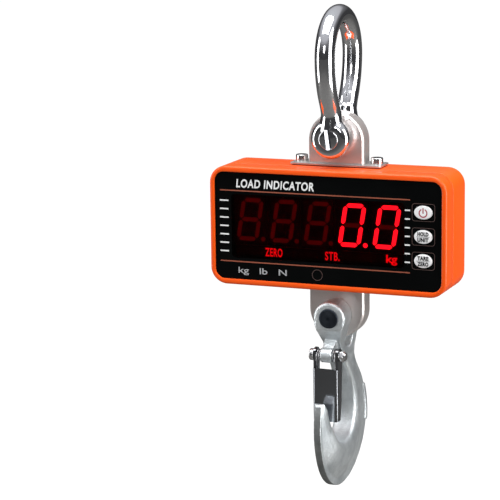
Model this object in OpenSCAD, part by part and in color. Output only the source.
// Crane scale: shackle, load cell in a two-part housing with an LED display,
// and a swivelling safety hook. Millimetres, +Z up, front towards -Y.
// Origin: inside crown of the shackle bow, where the scale hangs.

/* [Shackle] */
// Inside length of the bow, from crown to pin centre
bow_inside_l = 77.2; // [68:0.2:100]
// Inside width of the bow at its widest
bow_inside_w = 43.6; // [38:0.2:54]
// Diameter of the bow's rod
bow_rod_d = 13; // [11:0.5:15]
// Radius of the two eyes
bow_eye_r = 13.5; // [12:0.5:18]
// Thickness of each eye
bow_eye_t = 13.6; // [13.6:0.2:16]
// Diameter of the shackle pin
bow_pin_d = 14; // [11:0.5:16]
// Gap between an eye and the load cell
bow_side_gap = 1.7; // [1:0.1:4]

/* [Load cell] */
// Width of the load cell bar
cell_w = 40; // [34:1:50]
// Thickness of the load cell bar
cell_t = 14; // [10:0.5:18]
// Distance between the two pin holes
pin_spacing = 124.4; // [118:0.2:150]
// From a pin centre to the bar's end
cell_end = 17; // [13:0.5:22]
// Radius of the bar's corners at both ends
cell_corner_r = 19.9; // [8:0.1:19.9]
// Radius of the sensing holes
sense_r = 9; // [6:0.5:12]

/* [Housing] */
// Width of the housing
body_w = 172; // [165:1:210]
// Height of the housing
body_h = 83.5; // [80:0.5:92]
// Depth of the front shell
front_depth = 14.9; // [13:0.1:18]
// Depth of the rear shell
rear_depth = 34; // [31:0.5:46]
// Distance from the bezel's face to the load cell's middle
face_to_cell = 28.3; // [28:0.1:31]
// Wall thickness of both shells
wall = 2.5; // [2:0.1:3]
// Corner radius of the housing
body_corner_r = 12; // [9:0.5:14]
// Width of the bezel around the panel
bezel_w = 3.6; // [3:0.1:6]
// Depth of the panel below the bezel's face
panel_sink = 1; // [0.5:0.1:1.5]
// Thickness of the front panel
panel_t = 1.5; // [1:0.1:2]

/* [Display] */
// Number of digits
digit_count = 5; // [3:1:5]
// Distance from digit to digit
digit_pitch = 24.94; // [24:0.02:25]
// Width of a digit module
digit_w = 24.6; // [20:0.1:24.8]
// Height of a digit module
digit_h = 36; // [32:0.5:37]
// Depth of a digit module
digit_t = 9; // [7:0.5:10]
// Height of the digits' middle above the panel's middle
digit_z = 4.6; // [3:0.1:5]
// Sideways place of the first digit
digit_x1 = -57; // [-60:0.5:-56]
// Width of the display window
window_w = 126; // [110:1:128]
// Height of the display window
window_h = 45; // [42:1:48]
// Sideways place of the window's middle
window_x = -7; // [-10:0.5:-5]

/* [Keys] */
// Length of a key cap
key_w = 14; // [11:0.5:15]
// Height of a key cap
key_h = 9.8; // [7:0.1:11]
// Distance from key to key
key_pitch = 16.6; // [15:0.1:18]
// Distance from the panel's right edge to the keys' middle
key_inset = 13; // [11:0.5:14]
// Travel of a key
key_travel = 0.5; // [0.3:0.1:0.7]
// How far a key stands out of the panel
key_proud = 0.9; // [0.7:0.1:1.2]

/* [Hook] */
// From the hook's pin to its lowest point
hook_l = 123.8; // [110:0.2:140]
// Outer radius of the hook's bowl
hook_outer_r = 43.8; // [38:0.2:48]
// Inner radius of the hook's bowl
hook_inner_r = 20; // [17:0.5:22]
// Thickness of the hook at the bowl's bottom, side to side
hook_t = 18; // [14:0.5:20]
// Diameter of the hook's pin
hook_pin_d = 14; // [11:0.5:15]
// Radius of the hook's ears
ear_r = 11.5; // [9.5:0.5:13]
// Thickness of each ear
ear_t = 16.4; // [12:0.2:18]
// Gap between an ear and the load cell
ear_side_gap = 0.6; // [0.4:0.1:1.5]

/* [Latch] */
// Length of the latch below its bolt
latch_l = 46; // [42:0.5:48]
// Width of the latch
latch_w = 18; // [16:0.5:20]
// Sheet thickness of the latch
latch_sheet = 1.5; // [1:0.1:2]
// Diameter of the latch bolt
latch_bolt_d = 5; // [4:0.5:6]
// Wire diameter of the latch spring
spring_wire_d = 1.2; // [0.8:0.1:1.4]

/* [Fits] */
// Radial clearance of a turning pin
turn_gap = 0.05; // [0.02:0.01:0.1]
// Radial clearance of a fixed pin or screw
fixed_gap = 0.02; // [0.01:0.01:0.05]
// Gap around parts that drop into a cut-out
part_gap = 0.3; // [0.2:0.05:0.4]

/* [Power] */
// Diameter of a battery cell
battery_d = 18.4; // [14:0.1:18.6]
// Length of a battery cell
battery_l = 65; // [50:1:66]
// Distance of the charging socket from the middle
socket_x = 58; // [50:1:60]

/* [Hidden] */
$fn = 48;

bow_pin_z = -bow_inside_l;
mid_z = bow_pin_z - pin_spacing / 2;
hook_pin_z = bow_pin_z - pin_spacing;
cell_half_l = pin_spacing / 2 + cell_end;

bow_jaw_half = cell_t / 2 + bow_side_gap;
bow_y_wide = (bow_inside_w + bow_rod_d) / 2;
bow_y_eye = bow_jaw_half + bow_eye_t / 2;
bow_crown_z = -bow_inside_w / 2;
bow_straight = 10;
bow_dy = bow_y_wide - bow_y_eye;
bow_dz = bow_crown_z - bow_pin_z - bow_straight;
bow_lean = 2 * atan(bow_dy / bow_dz);
bow_r_sum = bow_dz / sin(bow_lean);
bow_r_upper = 0.67 * bow_r_sum;
bow_r_lower = bow_r_sum - bow_r_upper;
bow_eye_out = bow_jaw_half + bow_eye_t;

face_y = -face_to_cell;
parting_y = face_y + front_depth;
back_y = parting_y + rear_depth;
body_half_h = body_h / 2;
panel_y = face_y + panel_sink;
panel_w = body_w - 2 * bezel_w;
panel_h = body_h - 2 * bezel_w - 0.7;
panel_corner_r = body_corner_r - bezel_w - 1.4;
tray_y = panel_y + panel_t;
tray_back_y = tray_y + wall;
front_edge_r = 1.8;
back_edge_r = 7;
gasket_t = 0.8;

opening_half_w = max(window_w / 2 - 1, window_x - digit_x1 + digit_w / 2 + part_gap,
    digit_x1 + (digit_count - 1) * digit_pitch + digit_w / 2 - window_x + part_gap);
opening_corner_r = 0.8;
opening_half_h = max(window_h / 2 - 1, digit_z + digit_h / 2 + part_gap);
led_face_y = panel_y + 2 + 0.8;
board_t = 1.6;
board_y = led_face_y + digit_t;
key_x = panel_w / 2 - key_inset;
key_flange = 1;
key_flange_t = 1.2;
switch_body_t = 2.5;
switch_plunger_t = 0.6;
ir_x = -6.7;
ir_z = -panel_h / 2 + 6.6;
ir_r = 3.6;

screw_r = 1.5;
screw_head_r = 2.9;
shell_screw_x = body_w / 2 - body_corner_r + 2;
shell_screw_z = body_half_h - body_corner_r + 2;
shell_boss_r = 4;
board_screw_x = 62;
board_screw_z = body_half_h - 10.75;
board_boss_r = 3;

plate_w = cell_w + 26;
plate_d = cell_t + 6;
plate_t = 1.5;
seal_t = 0.6;
plate_screw_x = cell_w / 2 + 7.5;
plate_screw_r = 2.5;
plate_head_r = 4.25;
plate_head_h = 4.4;
low_head_h = 2.4;

battery_x = -(cell_w / 2 + 21);
battery_y = 5;
battery_step = battery_d + 0.6;
door_w = 2 * battery_step + 4;
door_h = battery_l + 8;
door_t = 1.6;
door_x = battery_x - battery_step / 2;
door_z_limit = body_half_h - back_edge_r - 0.5;
door_half_h = min(door_h / 2, door_z_limit);

main_board_y = 9;
main_board_w = 46;
main_board_h = 52;
main_board_x = 50;

jaw_half = cell_t / 2 + ear_side_gap;
ear_out = jaw_half + ear_t;
neck_half_y = 12.5;
neck_half_x = 6.5;
swing_gap = 0.75;
crotch_z = sqrt(pow(jaw_half, 2) - pow(cell_t / 2, 2)) - cell_w / 2 - swing_gap;
neck_z = crotch_z - 9.2;
bowl_outer_c = [-2.9, -hook_l + hook_outer_r];
bowl_inner_c = [-10.5, -hook_l + 32.8 + hook_inner_r];
latch_y = -26;
latch_z = -25.5;
lug_half_x = 4;
lug_r = 5;
web_front = 4.6;
web_top = 8.7;
latch_eye_r = 5.5;
bolt_side_gap = 0.3;

// ---------- shared shapes ----------

// Rectangle with round corners, centred
module round_rect(w, h, r) {
    square([w - 2 * r, h], center = true);
    square([w, h - 2 * r], center = true);
    for (sx = [-1, 1], sy = [-1, 1])
        translate([sx * (w / 2 - r), sy * (h / 2 - r)]) circle(r);
}

// Flat piece with the given outline, facing front, from y0 to y1
module slab(y0, y1) {
    translate([0, y0, 0]) rotate([90, 0, 0]) mirror([0, 0, 1])
        linear_extrude(y1 - y0) children();
}

// Round bar along Y from y0 to y1
module bar_y(x, z, r, y0, y1) {
    translate([x, y0, z]) rotate([-90, 0, 0]) cylinder(r = r, h = y1 - y0);
}

// Round bar along X, centred
module bar_x(y, z, r, l) {
    translate([-l / 2, y, z]) rotate([0, 90, 0]) cylinder(r = r, h = l);
}

// Side view of a housing: width w, from y0 to y1, with rounded front and back edges
module edge_profile(w, y0, y1, ef, er) {
    translate([-w / 2, y0 + ef]) square([w, y1 - y0 - ef - er]);
    if (ef > 0) {
        translate([-w / 2 + ef, y0]) square([w - 2 * ef, 2 * ef]);
        for (s = [-1, 1]) translate([s * (w / 2 - ef), y0 + ef]) circle(ef);
    }
    if (er > 0) {
        translate([-w / 2 + er, y1 - 2 * er]) square([w - 2 * er, 2 * er]);
        for (s = [-1, 1]) translate([s * (w / 2 - er), y1 - er]) circle(er);
    }
}

// Box with round corners and rounded front and back edges
module soft_box(w, h, r, y0, y1, ef, er) {
    intersection() {
        slab(y0, y1) round_rect(w, h, r);
        linear_extrude(h + 2, center = true) edge_profile(w, y0, y1, ef, er);
        rotate([0, 90, 0]) linear_extrude(w + 2, center = true) edge_profile(h, y0, y1, ef, er);
    }
}

// Round tube swept along a list of points
function unit(v) = v / norm(v);
function path_dir(p, i) = unit(p[min(i + 1, len(p) - 1)] - p[max(i - 1, 0)]);
module tube(path, r, sides = 8) {
    n = len(path);
    side = [for (i = [0:n - 1]) let (d = path_dir(path, i), up = abs(d.z) > 0.9 ? [0, 1, 0] : [0, 0, 1])
        unit(cross(d, up))];
    pts = [for (i = [0:n - 1], k = [0:sides - 1])
        let (d = path_dir(path, i), a = side[i], b = cross(d, a), t = 360 * k / sides)
        path[i] + r * (cos(t) * a + sin(t) * b)];
    walls = [for (i = [0:n - 2], k = [0:sides - 1]) let (a = i * sides, b = a + sides, m = (k + 1) % sides)
        each [[a + k, a + m, b + m], [a + k, b + m, b + k]]];
    caps = [[for (k = [sides - 1:-1:0]) k], [for (k = [0:sides - 1]) (n - 1) * sides + k]];
    polyhedron(pts, concat(walls, caps), convexity = 6);
}

// ---------- shackle ----------

// Part of the bow's rod, bent to radius r about the point [y, z]
module rod_arc(y, z, r, a0, a1, rod_r) {
    rotate([90, 0, 90]) translate([y, z, 0]) rotate([0, 0, a0])
        rotate_extrude(angle = a1 - a0) translate([r, 0]) circle(rod_r);
}

// Half of the bow below its crown: an outward lean, then a turn back down to the eye.
// Each stretch starts just inside the one before it and is a hair thinner.
module bow_leg() {
    rod_r = bow_rod_d / 2;
    lap = 1.5;
    rod_arc(bow_y_wide - bow_r_upper, bow_crown_z, bow_r_upper, -bow_lean, lap, rod_r - 0.1);
    rod_arc(bow_y_eye + bow_r_lower, bow_pin_z + bow_straight, bow_r_lower, 180 - bow_lean - lap, 180,
        rod_r - 0.2);
    translate([0, bow_y_eye, bow_pin_z + bow_pin_d / 2 + 1])
        cylinder(r = rod_r - 0.3, h = bow_straight - bow_pin_d / 2);
}

// One eye: a forged disc with bevelled rims
module bow_eye() {
    rim = 2.5;
    translate([0, bow_jaw_half, bow_pin_z]) rotate([-90, 0, 0]) rotate_extrude() polygon([
        [0, 0], [bow_eye_r - rim, 0], [bow_eye_r, rim], [bow_eye_r, bow_eye_t - rim],
        [bow_eye_r - rim, bow_eye_t], [0, bow_eye_t]]);
}

module shackle_bow() color("silver") difference() {
    union() {
        rod_arc(0, bow_crown_z, bow_y_wide, 0, 180, bow_rod_d / 2);
        for (s = [0, 1]) mirror([0, s, 0]) {
            bow_leg();
            bow_eye();
        }
    }
    bar_y(0, bow_pin_z, bow_pin_d / 2 + fixed_gap, -60, 60);
}

module shackle_pin() color("lightgray") difference() {
    slot_w = 4;
    union() {
        bar_y(0, bow_pin_z, bow_pin_d / 2, -bow_eye_out, bow_eye_out + 1.2);
        translate([0, -bow_eye_out, bow_pin_z]) rotate([90, 0, 0])
            cylinder(r1 = bow_pin_d / 2, r2 = bow_pin_d / 2 - 0.8, h = 0.8);
    }
    translate([0, -bow_eye_out, bow_pin_z]) rotate([0, -8, 0])
        cube([slot_w, 6, bow_pin_d + 4], center = true);
}

// ---------- load cell ----------

module cell_outline() {
    round_rect(cell_w, 2 * cell_half_l, cell_corner_r);
}

module load_cell() color("rosybrown") translate([0, 0, mid_z]) difference() {
    slab(-cell_t / 2, cell_t / 2) cell_outline();
    bar_y(0, pin_spacing / 2, bow_pin_d / 2 + turn_gap, -cell_t, cell_t);
    bar_y(0, -pin_spacing / 2, hook_pin_d / 2 + turn_gap, -cell_t, cell_t);
    for (s = [-1, 1]) bar_y(0, s * 1.4 * sense_r, sense_r, -cell_t, cell_t);
    cube([3, 2 * cell_t, 2.8 * sense_r], center = true);
}

module strain_gauges() color("gold") translate([0, 0, mid_z])
    for (sx = [-1, 1], sz = [-1, 1])
        translate([sx * (cell_w / 2 + 0.2), 0, sz * 1.4 * sense_r]) cube([0.4, 6, 9], center = true);

module gauge_covers() color("white") translate([0, 0, mid_z])
    for (sx = [0, 1]) mirror([sx, 0, 0]) difference() {
        translate([cell_w / 2, -cell_t / 2 + 1, -2.4 * sense_r]) cube([2, cell_t - 2, 4.8 * sense_r]);
        for (sz = [-1, 1])
            translate([cell_w / 2, 0, sz * 1.4 * sense_r]) cube([1.2, 7, 10], center = true);
    }

// Plate or seal round the bar: outline with the bar's slot and its screw holes
module plate_outline(w, d, gap, hole_r) {
    difference() {
        round_rect(w, d, 2);
        square([cell_w + 2 * gap, cell_t + 2 * gap], center = true);
        for (s = [-1, 1]) translate([s * plate_screw_x, 0]) circle(hole_r);
    }
}

module end_seal() {
    translate([0, 0, body_half_h]) linear_extrude(seal_t)
        plate_outline(plate_w - 2, plate_d - 2, fixed_gap, plate_screw_r + 0.3);
}

module end_plate() {
    translate([0, 0, body_half_h + seal_t]) linear_extrude(plate_t)
        plate_outline(plate_w, plate_d, 0.2, plate_screw_r + 0.2);
}

// Socket-head screws that hold an end plate, with heads of height h and sockets of depth d
module end_screws(h, d) {
    for (s = [-1, 1]) translate([s * plate_screw_x, 0, body_half_h + seal_t + plate_t]) {
        translate([0, 0, -14]) cylinder(r = plate_screw_r, h = 14.01);
        difference() {
            cylinder(r = plate_head_r, h = h);
            translate([0, 0, h - d]) cylinder(r = 2.3, h = d + 0.5, $fn = 6);
        }
    }
}

module at_top() { translate([0, 0, mid_z]) children(); }
module at_bottom() { translate([0, 0, mid_z]) mirror([0, 0, 1]) children(); }

module top_plate() color("lightslategray") at_top() end_plate();
module top_plate_screws() color("silver") at_top() end_screws(plate_head_h, 2.5);
module top_seal() color("black") at_top() end_seal();
module bottom_plate() color("lightslategray") at_bottom() end_plate();
module bottom_plate_screws() color("silver") at_bottom() end_screws(low_head_h, 1.4);
module bottom_seal() color("black") at_bottom() end_seal();

// ---------- housing ----------

module shell_screw_places() {
    for (sx = [-1, 1], sz = [-1, 1]) translate([sx * shell_screw_x, 0, sz * shell_screw_z]) children();
}

module board_screw_places() {
    for (sx = [-1, 1], sz = [-1, 1]) translate([sx * board_screw_x, 0, sz * board_screw_z]) children();
}

// Stadium outline of a key, grown by g
module key_outline(g) {
    round_rect(key_w + 2 * g, key_h + 2 * g, key_h / 2 + g - 0.05);
}

module key_places() {
    for (k = [-1:1]) translate([key_x, 0, k * key_pitch]) children();
}

module front_shell() color("orangered") translate([0, 0, mid_z]) difference() {
    union() {
        difference() {
            soft_box(body_w, body_h, body_corner_r, face_y, parting_y - gasket_t / 2, front_edge_r, 0);
            slab(face_y - 1, tray_y) round_rect(panel_w, panel_h, panel_corner_r);
            slab(tray_back_y, parting_y + 1)
                round_rect(body_w - 2 * wall, body_h - 2 * wall, body_corner_r - wall);
        }
        shell_screw_places() bar_y(0, 0, shell_boss_r, tray_back_y - 0.5, parting_y - gasket_t / 2);
        board_screw_places() bar_y(0, 0, board_boss_r, tray_back_y - 0.5, board_y);
    }
    slab(face_y, parting_y) translate([window_x, 0])
        round_rect(2 * opening_half_w, 2 * opening_half_h, opening_corner_r);
    key_places() slab(face_y, parting_y) key_outline(key_flange + part_gap);
    bar_y(ir_x, ir_z, ir_r, face_y, parting_y);
    shell_screw_places() bar_y(0, 0, screw_r + fixed_gap, tray_back_y, parting_y + 1);
    board_screw_places() bar_y(0, 0, screw_r + fixed_gap, tray_back_y, board_y + 1);
}

module door_outline(g) {
    round_rect(door_w + 2 * g, 2 * door_half_h + 2 * g, 3 + g);
}

module rear_shell() color("orangered") translate([0, 0, mid_z]) difference() {
    y0 = parting_y + gasket_t / 2;
    union() {
        difference() {
            soft_box(body_w, body_h, body_corner_r, y0, back_y, 0, back_edge_r);
            soft_box(body_w - 2 * wall, body_h - 2 * wall, body_corner_r - wall,
                y0 - 1, back_y - wall, 0, back_edge_r - wall);
        }
        difference() {
            shell_screw_places() bar_y(0, 0, shell_boss_r, y0, back_y - wall + 0.5);
            translate([0, 0, -mid_z]) battery_places()
                cylinder(r = battery_d / 2 + part_gap, h = battery_l + 2, center = true);
        }
        translate([main_board_x, 0, 0]) for (sx = [-1, 1], sz = [-1, 1])
            bar_y(sx * (main_board_w / 2 - 4), sz * (main_board_h / 2 - 4), board_boss_r,
                main_board_y + board_t, back_y - wall + 0.5);
        translate([door_x, 0, 0]) slab(back_y - wall - 1.5, back_y - 1) door_outline(0.5);
        for (s = [-1, 1]) for (sx = [-1, 1])
            translate([sx * plate_screw_x, 0, s * (body_half_h - wall / 2 - 4)])
                cylinder(r = 5, h = 8 + wall / 2, center = true);
    }
    cube([cell_w + 1, cell_t + 1, body_h + 2], center = true);
    for (s = [-1, 1]) translate([s * plate_screw_x, 0, 0])
        cylinder(r = plate_screw_r + fixed_gap, h = body_h + 2, center = true);
    shell_screw_places() {
        bar_y(0, 0, screw_r + 0.2, y0 - 1, back_y + 1);
        bar_y(0, 0, screw_head_r + part_gap, back_y - 4, back_y + 1);
    }
    translate([main_board_x, 0, 0]) for (sx = [-1, 1], sz = [-1, 1])
        bar_y(sx * (main_board_w / 2 - 4), sz * (main_board_h / 2 - 4), screw_r + fixed_gap,
            main_board_y, back_y - wall - 1);
    translate([door_x, 0, 0]) {
        slab(back_y - door_t, back_y + 1) door_outline(part_gap);
        slab(back_y - 10, back_y + 1) round_rect(door_w - 12, 2 * door_half_h - 6, 2);
        for (s = [-1, 1]) bar_y(s * (door_w / 2 - 3), 0, screw_r + fixed_gap, back_y - 6, back_y + 1);
    }
    translate([socket_x, 0, -body_half_h]) cylinder(r = 4 + part_gap, h = 3 * wall, center = true);
}

module shell_gasket() color("dimgray") translate([0, 0, mid_z])
    slab(parting_y - gasket_t / 2, parting_y + gasket_t / 2) difference() {
        round_rect(body_w - 1, body_h - 1, body_corner_r - 0.5);
        round_rect(body_w - 2 * wall, body_h - 2 * wall, body_corner_r - wall);
    }

module shell_screws() color("silver") translate([0, 0, mid_z]) shell_screw_places() {
    head_y = back_y - 1.6;
    bar_y(0, 0, screw_r, tray_back_y + 2, head_y);
    difference() {
        bar_y(0, 0, screw_head_r, head_y - 2.4, head_y);
        for (a = [0, 90]) rotate([0, a, 0]) translate([0, head_y, 0]) cube([3.4, 2.4, 0.8], center = true);
    }
}

// ---------- front panel and keys ----------

module front_panel() color([0.03, 0.03, 0.03]) translate([0, 0, mid_z]) slab(panel_y, tray_y) difference() {
    round_rect(panel_w - 0.2, panel_h - 0.2, panel_corner_r - 0.1);
    translate([window_x, 0]) round_rect(window_w, window_h, 3);
    for (k = [-1:1]) translate([key_x, k * key_pitch]) key_outline(part_gap);
    translate([ir_x, ir_z]) circle(ir_r);
}

module display_window() color([0.2, 0.02, 0.02, 0.6]) translate([0, 0, mid_z])
    slab(panel_y, tray_y) translate([window_x, 0]) round_rect(window_w - 0.1, window_h - 0.1, 2.95);

module ir_window() color([0.25, 0.05, 0.05]) translate([ir_x, 0, mid_z + ir_z]) {
    bar_y(0, 0, ir_r - 0.05, panel_y, tray_y);
    bar_y(0, 0, ir_r - 0.6, tray_y - 0.1, tray_y + 1.5);
}

// Key cap with a dished face, a retaining flange and a stem
module key(k) {
    stem_end = board_y - switch_body_t - switch_plunger_t - key_travel - 0.4;
    flange_y = tray_y + 0.15;
    translate([key_x, 0, mid_z + k * key_pitch]) {
        slab(panel_y - key_proud, flange_y + 0.1) key_outline(0);
        slab(flange_y, flange_y + key_flange_t) key_outline(key_flange);
        bar_y(0, 0, 2, flange_y, stem_end);
    }
}

module power_key() color("lightgray") key(1);
module hold_key() color("lightgray") key(0);
module tare_key() color("lightgray") key(-1);

module key_switches() color("black") translate([0, 0, mid_z]) key_places() {
    translate([-3, board_y - switch_body_t, -3]) cube([6, switch_body_t, 6]);
    bar_y(0, 0, 1.7, board_y - switch_body_t - switch_plunger_t, board_y - switch_body_t + 0.1);
}

// ---------- display ----------

module led_digit(k) {
    if (k <= digit_count) color([0.08, 0.08, 0.09])
        translate([digit_x1 + (k - 1) * digit_pitch - digit_w / 2, led_face_y, mid_z + digit_z - digit_h / 2])
            cube([digit_w, digit_t, digit_h]);
}

module led_digit_1() led_digit(1);
module led_digit_2() led_digit(2);
module led_digit_3() led_digit(3);
module led_digit_4() led_digit(4);
module led_digit_5() led_digit(5);

module status_lamps() color([0.1, 0.1, 0.1]) {
    lamp_h = 7;
    translate([window_x - window_w / 2 + 2, led_face_y, mid_z + digit_z - digit_h / 2 - lamp_h - 0.3])
        cube([window_w - 4, digit_t, lamp_h]);
}

module display_board() color("darkgreen") translate([0, 0, mid_z])
slab(board_y, board_y + board_t) difference() {
    union() {
        square([body_w - 2 * wall - 6, 2 * (shell_screw_z - shell_boss_r) - 1], center = true);
        square([2 * (board_screw_x + 4), body_h - 2 * wall - 4], center = true);
    }
    for (sx = [-1, 1], sz = [-1, 1])
        translate([sx * board_screw_x, sz * board_screw_z]) circle(screw_r + 0.1);
}

module display_board_screws() color("silver") translate([0, 0, mid_z]) board_screw_places() {
    bar_y(0, 0, screw_r, tray_back_y + 1, board_y + board_t + 0.1);
    bar_y(0, 0, screw_head_r, board_y + board_t, board_y + board_t + 1.8);
}

module ir_receiver() color("black") translate([ir_x, 0, mid_z + ir_z]) {
    translate([-3, board_y - 5, -2]) cube([6, 5, 4.5]);
    bar_y(0, 0, 2, board_y - 6.2, board_y - 4.9);
}

// ---------- electronics and battery ----------

module main_board() color("darkgreen") translate([main_board_x, 0, mid_z])
    slab(main_board_y, main_board_y + board_t) difference() {
        square([main_board_w, main_board_h], center = true);
        for (sx = [-1, 1], sz = [-1, 1])
            translate([sx * (main_board_w / 2 - 4), sz * (main_board_h / 2 - 4)]) circle(screw_r + 0.1);
    }

module board_parts() color([0.1, 0.1, 0.1]) translate([main_board_x, main_board_y, mid_z]) {
    translate([-9, -1.4, -2]) cube([12, 1.4, 12]);
    translate([8, -1.6, 4]) cube([8, 1.6, 6]);
    translate([-14, -5, -20]) cube([14, 5, 5]);
    for (x = [6, 13]) translate([x, 0, -12]) rotate([90, 0, 0]) cylinder(r = 2.5, h = 6);
}

module main_board_screws() color("silver") translate([main_board_x, 0, mid_z])
    for (sx = [-1, 1], sz = [-1, 1]) translate([sx * (main_board_w / 2 - 4), 0, sz * (main_board_h / 2 - 4)]) {
        bar_y(0, 0, screw_r, main_board_y - 0.1, back_y - wall - 2);
        bar_y(0, 0, screw_head_r, main_board_y - 1.8, main_board_y);
    }

module buzzer() color("black") translate([main_board_x - 9, main_board_y, mid_z + 17])
rotate([90, 0, 0]) difference() {
    cylinder(r = 5, h = 6);
    translate([0, 0, 4]) cylinder(r = 1, h = 3);
}

module battery_places() {
    for (k = [0, 1]) translate([battery_x - k * battery_step, battery_y, mid_z]) children();
}

module battery_cells() color("royalblue") battery_places() {
    cylinder(r = battery_d / 2, h = battery_l, center = true);
}

module battery_strips() color("silver") for (s = [-1, 1])
    translate([battery_x - battery_step / 2, battery_y, mid_z + s * (battery_l / 2 + 0.15)])
        cube([battery_step + 8, 6, 0.3], center = true);

module battery_cover() color("orangered") translate([door_x, 0, mid_z]) difference() {
    slab(back_y - door_t, back_y) door_outline(0);
    for (s = [-1, 1]) {
        bar_y(s * (door_w / 2 - 3), 0, screw_r + 0.1, back_y - door_t - 1, back_y + 1);
        bar_y(s * (door_w / 2 - 3), 0, 2.5, back_y - 0.8, back_y + 1);
    }
}

module battery_cover_screws() color("silver") translate([door_x, 0, mid_z]) for (s = [-1, 1])
difference() {
    union() {
        bar_y(s * (door_w / 2 - 3), 0, screw_r, back_y - 5, back_y - 0.7);
        bar_y(s * (door_w / 2 - 3), 0, 2.4, back_y - 0.8, back_y - 0.1);
    }
    translate([s * (door_w / 2 - 3), back_y, 0]) cube([3, 0.8, 0.7], center = true);
}

module charging_socket() color([0.1, 0.1, 0.1]) translate([socket_x, 0, mid_z - body_half_h]) {
    difference() {
        union() {
            translate([-5.5, -5.5, wall]) cube([11, 11, 13]);
            cylinder(r = 4, h = wall + 0.1);
        }
        translate([0, 0, -1]) cylinder(r = 2.8, h = 11);
    }
    translate([0, 0, 1]) cylinder(r = 1, h = 10);
}

module socket_plug() color("black") translate([socket_x, 0, mid_z - body_half_h]) {
    translate([0, 0, -1.5]) cylinder(r = 6, h = 1.4);
    difference() {
        translate([0, 0, -0.2]) cylinder(r = 2.8 - turn_gap, h = 6);
        translate([0, 0, 0.7]) cylinder(r = 1.3, h = 6);
    }
}

module cell_cable() color("gray") translate([0, 0, mid_z])
    tube([[cell_w / 2 + 2, 0, 20], [cell_w / 2 + 5, 0, 20], [cell_w / 2 + 8, 1, 19], [cell_w / 2 + 10, 3, 16],
        [cell_w / 2 + 12, 5, 12], [cell_w / 2 + 13, 6.5, 8], [cell_w / 2 + 14, 7.6, 5]], 1.2);

module battery_lead() color("red") translate([0, 0, mid_z])
    tube([[battery_x + 5, battery_y, battery_l / 2 + 1.5], [battery_x + 12, battery_y + 3, battery_l / 2 + 2.2],
        [battery_x + 22, battery_y + 5.5, battery_l / 2 + 1], [-8, 12, 27], [6, 12, 24], [18, 11, 22],
        [24, main_board_y - 1, 20], [28, main_board_y - 1, 18]], 1);

module ribbon_cable() color("lightgray") translate([main_board_x + 12, 0, mid_z - 22])
    rotate([0, -90, 0]) linear_extrude(10) {
        translate([0, board_y + board_t]) square([0.6, main_board_y - board_y - board_t]);
    }

// ---------- hook ----------

function bezier(p, t) = pow(1 - t, 3) * p[0] + 3 * pow(1 - t, 2) * t * p[1]
    + 3 * (1 - t) * t * t * p[2] + pow(t, 3) * p[3];
function curve(p) = [for (t = [0:0.125:1.001]) bezier(p, t)];
function reversed(p) = [for (i = [len(p) - 1:-1:0]) p[i]];

// Side view of the hook as [y, z] from its pin: the inside and the outside of the shank,
// and the inside of the tip
shank_in = curve([[0.3 - neck_half_y, neck_z + 1.6], [-6, -40], [bowl_inner_c[0] + hook_inner_r, -47],
    [bowl_inner_c[0] + hook_inner_r, bowl_inner_c[1]]]);
shank_out = curve([[neck_half_y - 0.3, neck_z + 1.6], [10.5, -44], [bowl_outer_c[0] + hook_outer_r - 2, -46],
    [bowl_outer_c[0] + hook_outer_r, bowl_outer_c[1]]]);
tip_in = [for (v = [[-22.8, -3.1], [-25.1, -3.1], [-28.4, 4.3], [-30.6, 8.6], [-32.9, 11.6]])
    [bowl_inner_c[0] + v[0] * hook_inner_r / 23, bowl_inner_c[1] + v[1]]];
tip_out = [for (v = [[-38.9, 23], [-40.4, 19.8], [-41.4, 14], [-41.9, 0]])
    [bowl_outer_c[0] + v[0] * hook_outer_r / 42, bowl_outer_c[1] + v[1]]];

module shank_view() polygon(concat(shank_in, reversed(shank_out)));

module bowl_view() difference() {
    union() {
        translate(bowl_outer_c) circle(hook_outer_r, $fn = 96);
        polygon(concat(tip_in, tip_out, [bowl_outer_c]));
        shank_view();
    }
    translate(bowl_inner_c) circle(hook_inner_r, $fn = 96);
    polygon(concat(reversed(shank_in), [[-20, 0], [-60, 0], [-60, bowl_outer_c[1] + 24]],
        reversed(tip_in), [bowl_inner_c]));
}

// Thickness of the bowl: widest near the seat, thin at the outer edge
module bowl_section() {
    half = [[0, hook_t / 2 - 1.2], [hook_inner_r, hook_t / 2 - 1.2], [hook_inner_r + 4, hook_t / 2],
        [hook_outer_r + 1, 4.4], [hook_outer_r + 18, 3]];
    polygon(concat(half, [for (p = reversed(half)) [p.x, -p.y]]));
}

module hook_curve() {
    intersection() {
        rotate([90, 0, 90]) linear_extrude(hook_t + 2, center = true) bowl_view();
        rotate([90, 0, 90]) translate(bowl_inner_c) rotate_extrude($fn = 96) bowl_section();
    }
    rotate([90, 0, 90]) linear_extrude(2 * neck_half_x - 0.4, center = true) shank_view();
}

// Fork of the hook: side view and front view cut from one block
module hook_fork() {
    intersection() {
        rotate([90, 0, 90]) linear_extrude(3 * ear_r, center = true) polygon([
            [-ear_out, ear_r], [ear_out, ear_r], [ear_out, -8], [neck_half_y, neck_z],
            [neck_half_y, neck_z - 2], [-neck_half_y, neck_z - 2], [-neck_half_y, neck_z], [-ear_out, -8]]);
        slab(-ear_out, ear_out) {
            circle(ear_r);
            polygon([[-ear_r * 0.95, -ear_r * 0.32], [-neck_half_x, crotch_z], [-neck_half_x, neck_z - 2],
                [neck_half_x, neck_z - 2], [neck_half_x, crotch_z], [ear_r * 0.95, -ear_r * 0.32]]);
        }
    }
}

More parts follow.
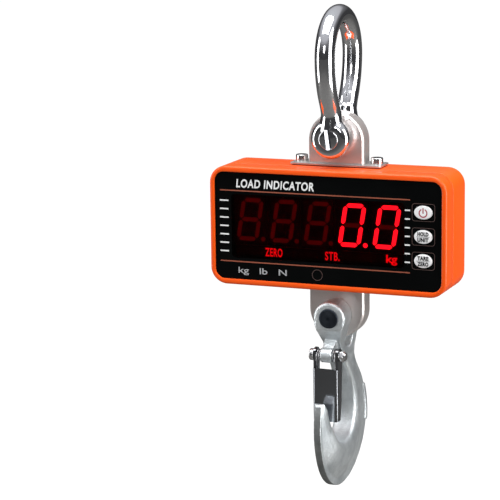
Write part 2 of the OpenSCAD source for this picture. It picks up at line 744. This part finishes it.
module hook_body() color("lightsteelblue") translate([0, 0, hook_pin_z]) difference() {
    union() {
        hook_curve();
        hook_fork();
        bar_x(latch_y, latch_z, lug_r, 2 * lug_half_x);
        rotate([90, 0, 90]) linear_extrude(2 * lug_half_x, center = true) polygon([
            [latch_y, latch_z + lug_r], [-15, -13], [-8, -20],
            [-8, -34], [-16, -33], [latch_y, latch_z - lug_r]]);
    }
    translate([-2 * ear_r, -jaw_half, crotch_z]) cube([4 * ear_r, 2 * jaw_half, 2 * ear_r + 20]);
    bar_x(0, crotch_z, jaw_half, 4 * ear_r);
    bar_y(0, 0, hook_pin_d / 2 + fixed_gap, -ear_out - 1, ear_out + 1);
    bar_x(latch_y, latch_z, latch_bolt_d / 2 + fixed_gap, 30);
    bar_x(jaw_half + ear_t / 2, 0, 1.5 + fixed_gap, 4 * ear_r);
}

module hook_pin() color([0.2, 0.2, 0.22]) translate([0, 0, hook_pin_z]) difference() {
    union() {
        bar_y(0, 0, hook_pin_d / 2, -ear_out - 0.2, ear_out + 0.2);
        translate([0, -ear_out - 0.2, 0]) rotate([90, 0, 0])
            cylinder(r1 = hook_pin_d / 2, r2 = hook_pin_d / 2 - 0.6, h = 0.6);
    }
    translate([0, -ear_out - 1, 0]) rotate([-90, 0, 0]) cylinder(r1 = 1.6, r2 = 0.2, h = 1.8);
    bar_x(jaw_half + ear_t / 2, 0, 1.5 + fixed_gap, 4 * ear_r);
}

module hook_roll_pin() color("dimgray") translate([0, 0, hook_pin_z]) difference() {
    bar_x(jaw_half + ear_t / 2, 0, 1.5, 2 * ear_r - 0.6);
    bar_x(jaw_half + ear_t / 2, 0, 0.8, 4 * ear_r);
}

// ---------- latch ----------

module at_latch() { translate([0, latch_y, hook_pin_z + latch_z]) children(); }

module latch() color("gainsboro") at_latch() difference() {
    union() {
        translate([-latch_w / 2, -web_front, -latch_l]) cube([latch_w, latch_sheet, latch_l - web_top]);
        for (sx = [0, 1]) mirror([sx, 0, 0]) translate([latch_w / 2 - latch_sheet, 0, 0])
            rotate([90, 0, 90]) linear_extrude(latch_sheet) {
                circle(latch_eye_r);
                polygon([[-web_front, 0], [-web_front, -latch_l], [1, -latch_l],
                    [3.5, -latch_l + 14], [latch_eye_r, 0]]);
            }
    }
    bar_x(0, 0, latch_bolt_d / 2 + turn_gap, 2 * latch_w);
}

module latch_bolt() color("silver") at_latch() {
    head_x = latch_w / 2 + bolt_side_gap;
    translate([-head_x, 0, 0]) rotate([0, 90, 0]) cylinder(r = latch_bolt_d / 2, h = 2 * head_x + 4.4);
    translate([-head_x - 3.4, 0, 0]) rotate([0, 90, 0]) difference() {
        cylinder(r = 4.2, h = 3.4);
        translate([0, 0, -1]) cylinder(r = 1.7, h = 2.6, $fn = 6);
    }
}

module latch_nut() color("silver") at_latch()
    translate([latch_w / 2 + bolt_side_gap, 0, 0]) rotate([0, 90, 0])
    difference() {
        union() {
            cylinder(r = 4.4, h = 3, $fn = 6);
            cylinder(r = 3.6, h = 4);
        }
        translate([0, 0, -1]) cylinder(r = latch_bolt_d / 2 + fixed_gap, h = 6);
    }

// Double torsion spring: a coil each side of the lug, joined by a loop behind the web
module latch_spring() color("dimgray") at_latch() {
    wire_r = spring_wire_d / 2;
    coil_r = latch_bolt_d / 2 + wire_r + 0.5;
    turns = 1.25;
    steps = 20;
    x0 = lug_half_x + wire_r + 0.15;
    x1 = latch_w / 2 - latch_sheet - wire_r - 0.15;
    leg_y = -web_front + latch_sheet + wire_r + 0.15;
    tail = [[x0, coil_r + 4, 3], [x0, 2, coil_r + 0.2]];
    coil = [for (i = [0:steps]) let (a = 90 + 360 * turns * i / steps)
        [x0 + (x1 - x0) * i / steps, coil_r * cos(a), coil_r * sin(a)]];
    leg = [[x1, -coil_r + 0.2, -3], [x1, leg_y, -7], [x1, leg_y, -15], [x1 - 1, leg_y, -16]];
    half = concat(tail, coil, leg);
    n = len(half);
    tube(concat([for (p = half) [-p.x, p.y, p.z]], [for (i = [n - 1:-1:0]) half[i]]), wire_r);
}

shackle_bow();
shackle_pin();
load_cell();
strain_gauges();
gauge_covers();
top_plate();
top_plate_screws();
top_seal();
bottom_plate();
bottom_plate_screws();
bottom_seal();
front_shell();
rear_shell();
shell_gasket();
shell_screws();
front_panel();
display_window();
ir_window();
power_key();
hold_key();
tare_key();
key_switches();
led_digit_1();
led_digit_2();
led_digit_3();
led_digit_4();
led_digit_5();
status_lamps();
display_board();
display_board_screws();
ir_receiver();
main_board();
board_parts();
main_board_screws();
buzzer();
battery_cells();
battery_strips();
battery_cover();
battery_cover_screws();
charging_socket();
socket_plug();
cell_cable();
battery_lead();
ribbon_cable();
hook_body();
hook_pin();
hook_roll_pin();
latch();
latch_bolt();
latch_nut();
latch_spring();
